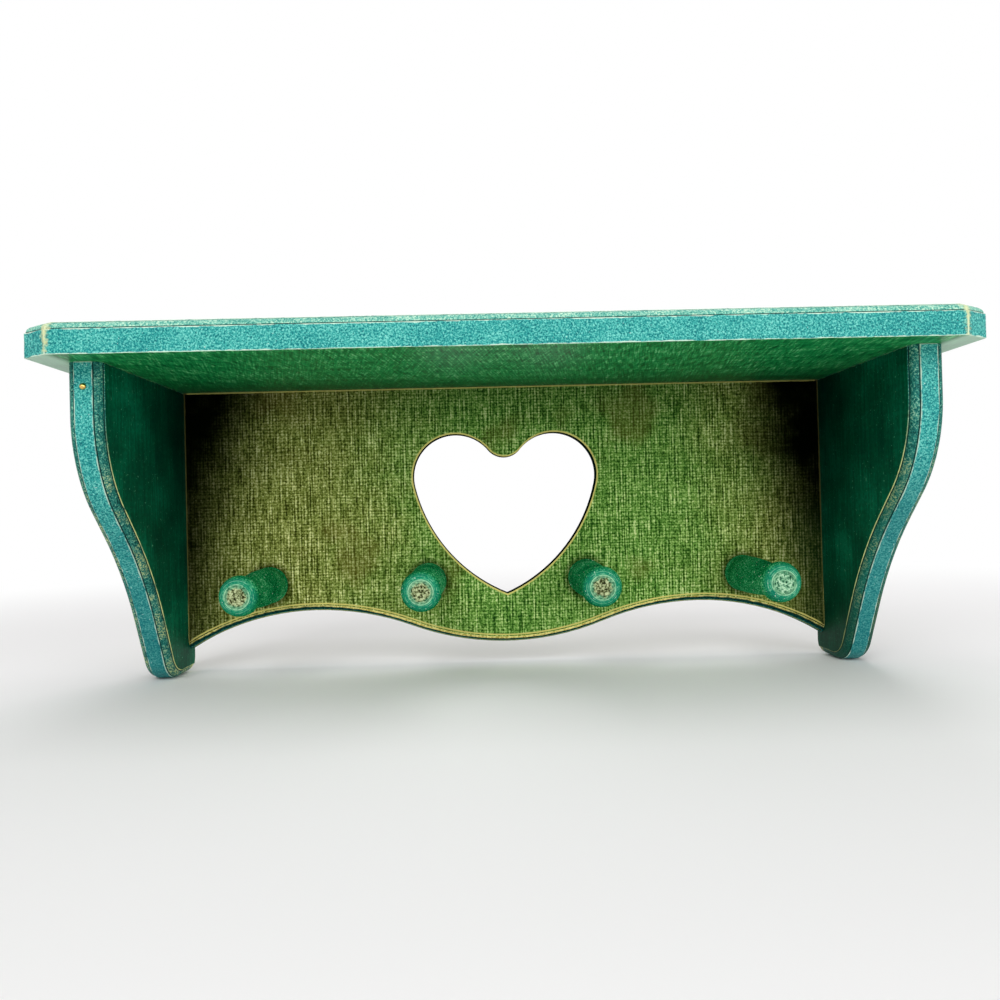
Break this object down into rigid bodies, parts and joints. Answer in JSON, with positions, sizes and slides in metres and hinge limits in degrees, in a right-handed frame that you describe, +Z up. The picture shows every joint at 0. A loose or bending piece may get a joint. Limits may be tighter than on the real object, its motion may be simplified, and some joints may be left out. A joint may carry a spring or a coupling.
{
  "type": "wall shelf with pegs",
  "caption": "Painted wooden wall shelf with moulded edges, curved brackets, a back panel pierced by a heart over a scalloped edge, and a row of turned pegs to hang things on.",
  "frame": {"origin": "on the wall plane, midway between the entry holes of the two hanging plates and at their height", "axes": "+X along the shelf to the right as seen from the front, +Y into the wall, +Z up"},
  "size_m": [0.544, 0.16, 0.2245],
  "materials": {
    "painted_wood": "satin",
    "painted_panel": "satin",
    "painted_peg": "satin",
    "plug_wood": "satin",
    "brass": "polished",
    "steel": "zinc plated"
  },
  "bodies": {
    "root": {"back_panel": "painted_panel", "bracket_left": "painted_wood", "bracket_right": "painted_wood", "brass_pin": "brass", "hanging_plate_left": "steel", "hanging_plate_right": "steel", "panel_nails_left": "steel", "panel_nails_right": "steel", "peg_1": "painted_peg", "peg_2": "painted_peg", "peg_3": "painted_peg", "peg_4": "painted_peg", "plate_screws_left": "steel", "plate_screws_right": "steel", "shelf_board": "painted_wood", "shelf_nails": "steel", "shelf_plugs_left": "plug_wood", "shelf_plugs_right": "plug_wood", "shelf_screws_left": "steel", "shelf_screws_right": "steel"}
  },
  "joints": []
}
